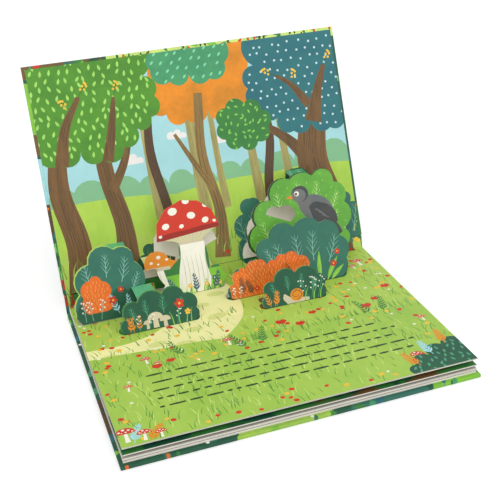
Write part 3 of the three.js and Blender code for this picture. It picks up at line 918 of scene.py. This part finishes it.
def case(d):
    """The printed wrap of the covers and the spine: leaves all over, toadstools, and broad fields at its edges."""
    p = inks()
    d.field(p.deep_green, block(146, -230, 230), "foliage")
    for colour, outline in (
        (p.leaf_green, [(-146, -20), (146, -20), (146, 40), (60, 52, 0.1), (-20, 40, 0.1), (-90, 56, 0.1),
         (-146, 46, 0.1)]),
        (p.bark, [(-146, 196), (-74, 201), (-74, 212), (-146, 212)]),
        (p.blade_light, [(-70, 200, 0.02), (10, 202, 0.02), (146, 199, 0.02), (146, 212), (-70, 212)]),
        (p.lime, [(-146, 150), (-134, 152, 0.2), (-132, 192, 0.1), (-146, 194)]),
        (p.cool_leaf, [(-146, 92), (-134, 90, 0.2), (-132, 128, 0.1), (-146, 130)]),
        (p.bark, [(-146, 132), (-136, 132), (-136, 150), (-146, 150)]),
        (p.bark_dark, [(-146, 60), (-136, 62), (-136, 90), (-146, 90)]),
        (p.red, [(-146, 15), (-134, 15), (-134, 25), (-146, 25)]),
        (p.meadow_deep, [(-60, -210), (20, -210), (10, -196, 0.1), (-50, -198, 0.1)]),
        (p.teal_bush, [(30, -210), (96, -210), (90, -194, 0.2), (40, -196, 0.2)]),
        (p.lime, [(100, -210), (146, -210), (146, -196), (104, -198)]),
        (p.bark_dark, [(-146, -170), (-136, -168), (-136, -130), (-146, -128)]),
    ):
        d.field(colour, lobed(outline, 5), "foliage")
    greens = (p.leaf_green, p.teal_bush, p.mid_green, p.lime, p.dark_leaf, p.teal)
    for x, y in d.scatter(block(146, -230, 230), 15):
        d.field(d.dice.choice(greens), leaf(x, y, d.dice.uniform(0, 6.3), d.dice.uniform(9, 15),
            d.dice.uniform(4, 6)), "foliage", 0.08)
    for x, y in d.scatter(block(146, -230, 230), 26):
        d.field(d.dice.choice((p.red, p.yellow, p.white, p.ink_dark, p.orange)), oval(x, y, 1.5, 1.3, 0, 8))
    for x in range(-60, 145, 5):
        d.field(d.dice.choice((p.ink_dark, p.dark_leaf, p.red, p.leaf_green)),
            leaf(x, 203 + d.near(0, 2), d.dice.uniform(0, 3.1), 5, 2.2))
    for y in range(-20, 60, 4):
        d.blade(d.dice.choice((p.deep_green, p.lime)), -142 + d.near(0, 1.5), y, 9, 0.1, 1.1)
    for x, y, s in ((-60, 40, 46), (40, 30, 60), (88, 34, 34), (0, -120, 50), (70, -130, 34), (-80, -140, 30)):
        d.toadstool(x, y, s, d.near(0, 0.2))
        for _ in range(14):
            d.blade(d.dice.choice((p.lime, p.blade_light, p.leaf_green)), x + d.near(0, s * 0.5), y - 3,
                d.dice.uniform(8, 18), d.near(0, 0.3), 1.4)
    d.field(p.red, oval(-130, 207, 3, 3, 0, 10))


def strap_field(d, base, mark, kind):
    """A strap's one colour, with marks of one kind over it."""
    d.field(base, block(150, -5, 80), "foliage")
    if kind == "veins":
        for x in range(-140, 141, 7):
            d.twig(mark, x, d.near(6, 3), 1.2 + d.near(0, 0.4), 13, 0.45, 3)
    elif kind == "dashes":
        for x, y in d.scatter(block(148, 0, 60), 3.4):
            d.field(mark, band([(x, y), (x + 0.5, y + 2.2)], [0.6, 0.4], 1))
    else:
        for x, y in d.scatter(block(148, 0, 60), 7):
            d.blade(mark, x, y, 4, 0.4, 0.6)


# Sheets


def front_edges(node, faces):
    """The outline of a node's printed face, as edges in the drawing's millimetres."""
    mesh = frame["nodes"][node].data
    count = {}
    for polygon in mesh.polygons:
        for test, flat in faces:
            if polygon.normal.dot(test[0]) > 0.999 and abs((polygon.center - test[1]).dot(test[0])) < 2e-5:
                points = [tuple(round(v, 3) + 0.0 for v in flat(mesh.vertices[i].co)) for i in polygon.vertices]
                for a, b in zip(points, points[1:] + points[:1]):
                    key = (min(a, b), max(a, b))
                    count[key] = count.get(key, 0) + 1
    return np.array([[*a, *b] for (a, b), n in count.items() if n == 1 and a != b])


def cut_up(edges, shapes, creases=()):
    """Triangles of the sheet, each with the shape that lies uppermost on it."""
    low = np.minimum(edges[:, :2].min(0), edges[:, 2:].min(0))
    high = np.maximum(edges[:, :2].max(0), edges[:, 2:].max(0))
    points, lines = [], []
    for x0, y0, x1, y1 in edges:
        lines.append((len(points), len(points) + 1))
        points += [(x0, y0), (x1, y1)]
    for y in creases:
        lines.append((len(points), len(points) + 1))
        points += [(low[0] - 1, y), (high[0] + 1, y)]
    kept = []
    for colour, finish, shape in shapes:
        if (shape.min(0) < high).all() and (shape.max(0) > low).all():
            kept.append((colour, finish, shape))
            n = len(points)
            lines += [(n + k, n + (k + 1) % len(shape)) for k in range(len(shape))]
            points += [tuple(q) for q in shape]
    found = delaunay_2d_cdt([Vector(q) for q in points], lines, [], 0, 1e-3)
    verts = np.array([tuple(v) for v in found[0]])
    faces = np.array(found[2])
    corners = verts[faces]
    one, other = corners[:, 1] - corners[:, 0], corners[:, 2] - corners[:, 0]
    area = one[:, 0] * other[:, 1] - one[:, 1] * other[:, 0]
    centres = corners.mean(1)
    keep = inside(centres, edges) & (abs(area) > 1e-6)
    faces, centres, area = faces[keep], centres[keep], area[keep]
    faces[area < 0] = faces[area < 0][:, ::-1]
    colours = np.ones((len(faces), 3)) * 0.8
    finishes = np.zeros(len(faces), int)
    for colour, finish, shape in kept:
        box = np.all((centres > shape.min(0)) & (centres < shape.max(0)), 1)
        which = np.flatnonzero(box)
        hit = which[inside(centres[which], ring(shape))]
        colours[hit] = colour
        finishes[hit] = finish
    return verts, faces, colours, finishes


def paint(mesh, colours, finishes):
    """Keep each face's colour at its corners, and its finish as its material."""
    attribute = mesh.color_attributes.new("ink", "FLOAT_COLOR", "CORNER")
    per_corner = np.ones((len(mesh.loops), 4))
    per_corner[:, :3] = np.repeat(colours, [f.loop_total for f in mesh.polygons], 0)
    attribute.data.foreach_set("color", per_corner.ravel())
    mesh.polygons.foreach_set("material_index", finishes)


def print_sheet(name, edges, drawing, place, card, creases=(), wrapped=0.0):
    """A sheet of card with its print, cut along the edges. place gives the point at x, y and a depth below the print.
    wrapped is the radius of the edges of a board whose print goes round them, to its other face."""
    verts, faces, colours, finishes = cut_up(edges, drawing.shapes, creases)
    used = np.unique(faces)
    flat = verts[used]
    number = {v: k for k, v in enumerate(used)}
    n = len(used)
    front = [[number[v] for v in f] for f in faces]
    sides = {}
    for index, f in enumerate(front):
        for a, b in zip(f, f[1:] + f[:1]):
            if (b, a) in sides:
                del sides[(b, a)]
            else:
                sides[(a, b)] = index
    layers = [(0.0, 0.0), (0.0, card)]
    if wrapped:
        layers = [(0.0, 0.0), (wrapped * 0.7, wrapped * 0.3), (wrapped, wrapped),
                  (wrapped, card - wrapped), (wrapped * 0.7, card - wrapped * 0.3), (0.0, card)]
    low, high = flat.min(0), flat.max(0)
    outward = (flat > high - 1e-3).astype(float) - (flat < low + 1e-3)
    points = []
    for swell, depth in layers:
        points += [place(*(q + o * swell), depth) for q, o in zip(flat, outward)]
    walls, owners = [], []
    for level in range(len(layers) - 1):
        for (a, b), index in sides.items():
            walls.append([v + level * n for v in (b, a)] + [v + (level + 1) * n for v in (a, b)])
            owners.append(index)
    last = (len(layers) - 1) * n
    back = [[v + last for v in f[::-1]] for f in front]
    mesh = bpy.data.meshes.new(name)
    mesh.from_pydata(points, [], front + walls + back)
    if wrapped:
        colours = np.concatenate([colours, colours[owners], colours])
        finishes = np.concatenate([finishes, finishes[owners], finishes])
    else:
        rest = len(walls) + len(back)
        colours = np.concatenate([colours, np.tile(tuple(inks().paper), (rest, 1))])
        finishes = np.concatenate([finishes, np.zeros(rest, int)])
    paint(mesh, colours, finishes)
    middle = mesh.polygons[0]
    if middle.normal.dot(place(0, flat[0][1], 0.0) - place(0, flat[0][1], card)) < 0:
        mesh.flip_normals()
    for finish in FINISHES:
        mesh.materials.append(FINISH_MATERIALS[finish])
    mesh.update()
    piece = bpy.data.objects.new(name, mesh)
    bpy.context.scene.collection.objects.link(piece)
    return piece


def box_edges(x0, x1, y0, y1):
    return ring([(x0, y0), (x1, y0), (x1, y1), (x0, y1)])


def spread_place(x, y, depth):
    """A point of the open spread: below the gutter the floor page, above it the upright page."""
    if y < -1e-6:
        return GUTTER + (ACROSS * x + FORWARD * -y - ABOVE * depth) * MM
    if y > 1e-6:
        return GUTTER + (ACROSS * x + UP * y - OUT * depth) * MM
    inner = (ABOVE + OUT).normalized()
    return GUTTER + (ACROSS * x - inner * (depth / inner.dot(OUT))) * MM


# Kept from one step to the next
FINISH_MATERIALS = {}
DRAWINGS = {}


def spread_drawing():
    """The drawing that the floor page and the upright page share."""
    if "spread" not in DRAWINGS:
        DRAWINGS["spread"] = Drawing(7)
        woodland(DRAWINGS["spread"])
    return DRAWINGS["spread"]


PLATES = {
    "left_bush": left_bush,
    "front_left_bush": front_left_bush,
    "toadstools": toadstools,
    "tall_bush": tall_bush,
    "middle_bush": middle_bush,
    "low_bush": low_bush,
}


def chained(edges):
    """The longest outline among the edges, as points in order."""
    nearby = {}
    for x0, y0, x1, y1 in edges:
        nearby.setdefault((x0, y0), []).append((x1, y1))
        nearby.setdefault((x1, y1), []).append((x0, y0))
    left, best = set(nearby), []
    while left:
        start = min(left)
        line, before, here = [start], None, start
        while True:
            left.discard(here)
            onward = [q for q in nearby[here] if q != before]
            if not onward or onward[0] == start or onward[0] not in left:
                break
            before, here = here, onward[0]
            line.append(here)
        if len(line) > len(best):
            best = line
    area = sum(a[0] * b[1] - b[0] * a[1] for a, b in zip(best, best[1:] + best[:1]))
    return best if area > 0 else best[::-1]


class BOOK_OT_finishes(bpy.types.Operator):
    """Mix the inks and finishes of the print."""

    bl_idname = "book.finishes"
    bl_label = "Inks and finishes"

    def execute(self, context):
        FINISH_MATERIALS.update(zip(FINISHES, make_finishes()))
        return {"FINISHED"}


class BOOK_OT_floor_page(bpy.types.Operator):
    """Print the floor page, which bends up at the gutter with the cover."""

    bl_idname = "book.floor_page"
    bl_label = "Floor page"

    def execute(self, context):
        floor = ((ABOVE, GUTTER), lambda v: ((v.x - GUTTER.x) / MM, -(v - GUTTER).dot(FORWARD) / MM))
        strip = ((OUT, GUTTER), lambda v: ((v.x - GUTTER.x) / MM, (v - GUTTER).dot(UP) / MM))
        edges = front_edges("floor_page", (floor, strip))
        page = print_sheet("floor_page_print", edges, spread_drawing(), spread_place, CARD, STRIP_CREASES)
        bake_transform(page)
        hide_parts("floor_page")
        return {"FINISHED"}


class BOOK_OT_upright_page(bpy.types.Operator):
    """Print the upright page."""

    bl_idname = "book.upright_page"
    bl_label = "Upright page"

    def execute(self, context):
        upright = ((OUT, GUTTER), lambda v: ((v.x - GUTTER.x) / MM, (v - GUTTER).dot(UP) / MM))
        edges = front_edges("upright_page", (upright,))
        page = print_sheet("upright_page_print", edges, spread_drawing(), spread_place, CARD)
        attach(page, "upper_half")
        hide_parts("upright_page")
        return {"FINISHED"}


SLOTS = {
    "left_bush": "print_green", "front_left_bush": "print_dark_green", "toadstools": "print_red",
    "tall_bush": "print_bright_green", "middle_bush": "print_orange", "low_bush": "print_dark_green",
    "left_bush_strap": "print_bright_green", "front_left_bush_strap": "print_green",
    "toadstools_strap": "printed_meadow", "tall_bush_strap": "print_green",
    "middle_bush_strap": "print_orange", "low_bush_strap": "print_orange",
}


class BOOK_OT_plates(bpy.types.Operator):
    """Print and cut the plates that stand on the floor page."""

    bl_idname = "book.plates"
    bl_label = "Pop-up plates"

    def execute(self, context):
        for seed, (name, draw) in enumerate(PLATES.items()):
            foot = Vector(JOINTS[f"{name}_crease"]["pos_m"])
            face = ((OUT, foot), lambda v, foot=foot: (v.x / MM, (v - foot).dot(UP) / MM))
            edges = front_edges(name, (face,))
            drawing = Drawing(seed + 20)
            draw(drawing, chained(edges))
            plate = print_sheet(
                f"{name}_print", edges, drawing,
                lambda x, y, depth, foot=foot: foot + (ACROSS * x + UP * y - OUT * depth) * MM, CARD)
            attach(plate, name)
            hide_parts(name)
            SLOTS[name]
        return {"FINISHED"}


STRAPS = {
    "left_bush_strap": ("left_bush", None, "strap_green", "mid_vein", "veins"),
    "front_left_bush_strap": ("front_left_bush", "left_bush", "strap_green", "mid_vein", "veins"),
    "toadstools_strap": ("toadstools", None, "path", "blade_light", "grass"),
    "tall_bush_strap": ("tall_bush", None, "mid_green", "cool_leaf", "veins"),
    "middle_bush_strap": ("middle_bush", "tall_bush", "teal_bush", "teal_vein", "veins"),
    "low_bush_strap": ("low_bush", "middle_bush", "orange", "orange_mark", "dashes"),
}


class BOOK_OT_straps(bpy.types.Operator):
    """Print the straps that tie each plate to what is behind it."""

    bl_idname = "book.straps"
    bl_label = "Straps"

    def execute(self, context):
        for seed, (name, (on, behind, base, mark, kind)) in enumerate(STRAPS.items()):
            crease = Vector(JOINTS[f"{name}_crease"]["pos_m"])
            back = Vector(JOINTS[f"{behind}_crease"]["pos_m"]) if behind else GUTTER
            apart = (Vector(JOINTS[f"{on}_crease"]["pos_m"]) - back).length / MM
            length = apart - CARD / math.cos(LEAN - RISE) - STRAP_CLEARANCE
            low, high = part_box(name)
            drawing = Drawing(seed + 40)
            strap_field(drawing, getattr(inks(), base), getattr(inks(), mark), kind)
            strap = print_sheet(
                f"{name}_print", box_edges(low.x / MM, high.x / MM, 0, length), drawing,
                lambda x, y, depth, at=crease, end=length: at + (
                    ACROSS * x - FORWARD * y - ABOVE * (depth - 0.5) * CARD * min(1,
                        STRAP_END_SHARE + min(y, end - y) / STRAP_SCORE)) * MM,
                1.0, (STRAP_SCORE, length - STRAP_SCORE))
            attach(strap, name)
            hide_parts(name)
            SLOTS[name]
        return {"FINISHED"}


def spine_place(x, y, depth):
    """A point of the wrap between the covers: y runs from the back cover round the spine to the front cover's foot."""
    along, outer, inner = zip(*SPINE_SECTION)
    a, b = (
        np.interp(y, along, [q[k] for q in outer]) * (1 - depth)
        + np.interp(y, along, [q[k] for q in inner]) * depth
        for k in (0, 1))
    return GUTTER + Vector((x, a, b)) * MM


class BOOK_OT_case(bpy.types.Operator):
    """Wrap the boards in their print and bend the wrap round the spine."""

    bl_idname = "book.case"
    bl_label = "Covers and spine"

    def execute(self, context):
        low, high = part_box("back_cover")
        half = high.x / MM
        radius = sizes().edge / MM
        thick = (high.z - low.z) / MM
        under = (GUTTER.z - low.z) / MM
        front, rear = (GUTTER.y - low.y) / MM, (GUTTER.y - high.y) / MM
        drawing = Drawing(3)
        case(drawing)
        back = print_sheet(
            "back_cover_print", box_edges(-half + radius, half - radius, -front + radius, -rear - radius), drawing,
            lambda x, y, depth: GUTTER + Vector((x, y, depth - under)) * MM, thick, (), radius)
        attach(back, "lower_half")
        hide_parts("back_cover")
        face = COVER_BEHIND_PAGE + thick
        cover = print_sheet(
            "front_cover_print",
            box_edges(-half + radius, half - radius, COVER_FOOT + radius, front - radius), drawing,
            lambda x, y, depth: GUTTER + (ACROSS * x + UP * y - OUT * (face - depth)) * MM, thick, (), radius)
        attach(cover, "upper_half")
        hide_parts("front_cover")
        spine = print_sheet(
            "spine_wrap", box_edges(-half + radius, half - radius, 0, SPINE_WRAP), drawing, spine_place, 1.0,
            SPINE_ROWS, SPINE_EDGE)
        start, end = spine_place(0, 8.2, 0), spine_place(0, 24.6, 0)
        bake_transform(spine)
        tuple(start)
        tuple(end)
        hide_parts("spine")
        return {"FINISHED"}


def leaves_shader():
    """Card leaves: plain at their edges, where thin dark stripes are painted shade between the leaves, with blots of
    print on the faces of the upper ones and painted shade on the faces of the lower ones.
    """
    s = Shader("card_leaves", roughness=0.7, specular=0.3)
    p = inks()
    # Thin horizontal stripes: on the cut edges they darken the card as painted shade in the gaps between the leaves,
    # and they also bump it
    lines = s.noise(260, 3, 0.6, (0.02, 0.02, 9))
    edge = s.mix(s.smooth(lines, 0.42, 0.62, 0, 0.7), p.paper, [c * 0.55 for c in p.paper])
    edge = s.mix(s.smooth(s.noise(40, 2), 0.4, 0.7, 0, 0.3), edge, [c * 0.8 for c in p.paper])
    blots = s.noise(38, 2, 0.5)
    print_and_shade = s.mix(s.smooth(blots, 0.42, 0.5), p.deep_green, p.leaf_green)
    print_and_shade = s.mix(s.smooth(s.noise(24, 2, 0.5), 0.56, 0.62), print_and_shade, p.bark)
    turned = s.node("ShaderNodeSeparateXYZ", {}, {0: s.node("ShaderNodeNewGeometry")["Normal"]})["Z"]
    flat = abs(turned) > 0.7
    low, high = (corner.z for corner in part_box("page_block"))
    height = s.node("ShaderNodeSeparateXYZ", {}, {0: s.place()})["Z"]
    # Faces low in the stack, below the share of its height set in the sizes, get painted shade, the card at half its
    # brightness, in place of print
    print_and_shade = s.mix(height > low + sizes().shaded_leaves * (high - low), [c * 0.5 for c in p.paper], print_and_shade)
    s.colour(s.mix(flat, edge, print_and_shade))
    s.bump(lines, 0.0002, 0.7)
    return s.material


class BOOK_OT_cards(bpy.types.Operator):
    """Give the leaves and the backing their finishes."""

    bl_idname = "book.cards"
    bl_label = "Leaves and backing"

    def execute(self, context):
        for node in frame["nodes"].values():
            node.data.materials.clear()
            node.data.materials.append(FINISH_MATERIALS["paper"])
        leaves = frame["nodes"]["page_block"]
        leaves.data.materials[0] = leaves_shader()
        return {"FINISHED"}


def pale_floor():
    """A plain floor, white to the camera, that takes the book's shadow."""
    mesh = bpy.data.meshes.new("pale_floor")
    mesh.from_pydata([(-6, -6, -0.0004), (6, -6, -0.0004), (6, 6, -0.0004), (-6, 6, -0.0004)], [], [(0, 1, 2, 3)])
    floor = bpy.data.objects.new("pale_floor", mesh)
    bpy.context.scene.collection.objects.link(floor)
    s = Shader("pale_floor", roughness=0.9, specular=0.0)
    seen = s.node("ShaderNodeLightPath")["Is Camera Ray"]
    tone = s.smooth(s.noise(6, 2), 0.2, 0.8)
    lit = s.mix(tone, (0.78, 0.78, 0.78), (0.8, 0.8, 0.8))
    s.colour(s.mix(seen, lit, s.mix(tone, (0.985, 0.985, 0.985), (1, 1, 1))))
    s.put(s.surface.inputs["Emission Color"], s.mix(seen, (0, 0, 0), (0.2, 0.2, 0.2)))
    s.surface.inputs["Emission Strength"].default_value = 1.0
    mesh.materials.append(s.material)


def room_light():
    """Even light from all round, white to the camera."""
    world = bpy.data.worlds.new("room")
    world.use_nodes = True
    bpy.context.scene.world = world
    tree = world.node_tree
    back = tree.nodes["Background"]
    path = tree.nodes.new("ShaderNodeLightPath")
    strength = tree.nodes.new("ShaderNodeMix")
    strength.inputs[2].default_value = sizes().sky
    strength.inputs[3].default_value = 1.0
    tree.links.new(path.outputs["Is Camera Ray"], strength.inputs[0])
    tree.links.new(strength.outputs[0], back.inputs["Strength"])
    back.inputs["Color"].default_value = (1, 1, 1, 1)


def lamp(name, place, power):
    """A round lamp that faces the book."""
    light = bpy.data.lights.new(name, "AREA")
    light.shape = "DISK"
    light.size = 1.2
    light.energy = power
    piece = bpy.data.objects.new(name, light)
    piece.location = place
    piece.rotation_euler = (Vector((0, 0.03, 0.05)) - Vector(place)).to_track_quat("-Z", "Y").to_euler()
    bpy.context.scene.collection.objects.link(piece)


def camera(place, azimuth, elevation, roll):
    """The camera, from where it stands and how it is turned."""
    level = math.cos(elevation)
    ahead = Vector((math.sin(azimuth) * level, math.cos(azimuth) * level, -math.sin(elevation)))
    right = ahead.cross(Vector((0, 0, 1))).normalized()
    up = right.cross(ahead)
    c, s = math.cos(roll), math.sin(roll)
    right, up = right * c + up * s, up * c - right * s
    lens = bpy.data.cameras.new("camera")
    lens.lens = sizes().lens
    lens.sensor_width = 36
    piece = bpy.data.objects.new("camera", lens)
    piece.matrix_world = Matrix((*[(right[k], up[k], -ahead[k], place[k]) for k in range(3)], (0, 0, 0, 1)))
    bpy.context.scene.collection.objects.link(piece)
    bpy.context.scene.camera = piece


class BOOK_OT_stage(bpy.types.Operator):
    """Set the pale floor, the lamps and the camera."""

    bl_idname = "book.stage"
    bl_label = "Stage"

    def execute(self, context):
        context.scene.view_settings.view_transform = "Standard"
        pale_floor()
        room_light()
        lamp("key_lamp", (-0.5, -1.1, 1.5), sizes().key)
        lamp("fill_lamp", (0.9, -1.0, 0.9), sizes().key * 0.45)
        camera((-0.2132, -0.5912, 0.4518), math.radians(19.07), math.radians(29.84), math.radians(-1.6))
        return {"FINISHED"}


STEPS = (
    BOOK_OT_finishes,
    BOOK_OT_cards,
    BOOK_OT_case,
    BOOK_OT_floor_page,
    BOOK_OT_upright_page,
    BOOK_OT_plates,
    BOOK_OT_straps,
    BOOK_OT_stage,
)


class BOOK_PT_panel(bpy.types.Panel):
    """Lists the steps and the sizes and inks."""

    bl_idname = "BOOK_PT_panel"
    bl_label = "Pop-up book"
    bl_space_type = "VIEW_3D"
    bl_region_type = "UI"
    bl_category = "Pop-up book"

    def draw(self, context):
        for step in STEPS:
            self.layout.operator(step.bl_idname)
        for group in (context.scene.book_sizes, context.scene.book_inks):
            for key in group.bl_rna.properties.keys():
                if key not in ("rna_type", "name"):
                    self.layout.prop(group, key)


CLASSES = (BookInks, BookSizes, *STEPS, BOOK_PT_panel)


def register():
    for each in CLASSES:
        bpy.utils.register_class(each)
    bpy.types.Scene.book_inks = PointerProperty(type=BookInks)
    bpy.types.Scene.book_sizes = PointerProperty(type=BookSizes)


def unregister():
    del bpy.types.Scene.book_sizes
    del bpy.types.Scene.book_inks
    for each in reversed(CLASSES):
        bpy.utils.unregister_class(each)


def main():
    register()
    for step in STEPS:
        getattr(bpy.ops.book, step.bl_idname.split(".")[1])()


if __name__ == "__main__":
    main()
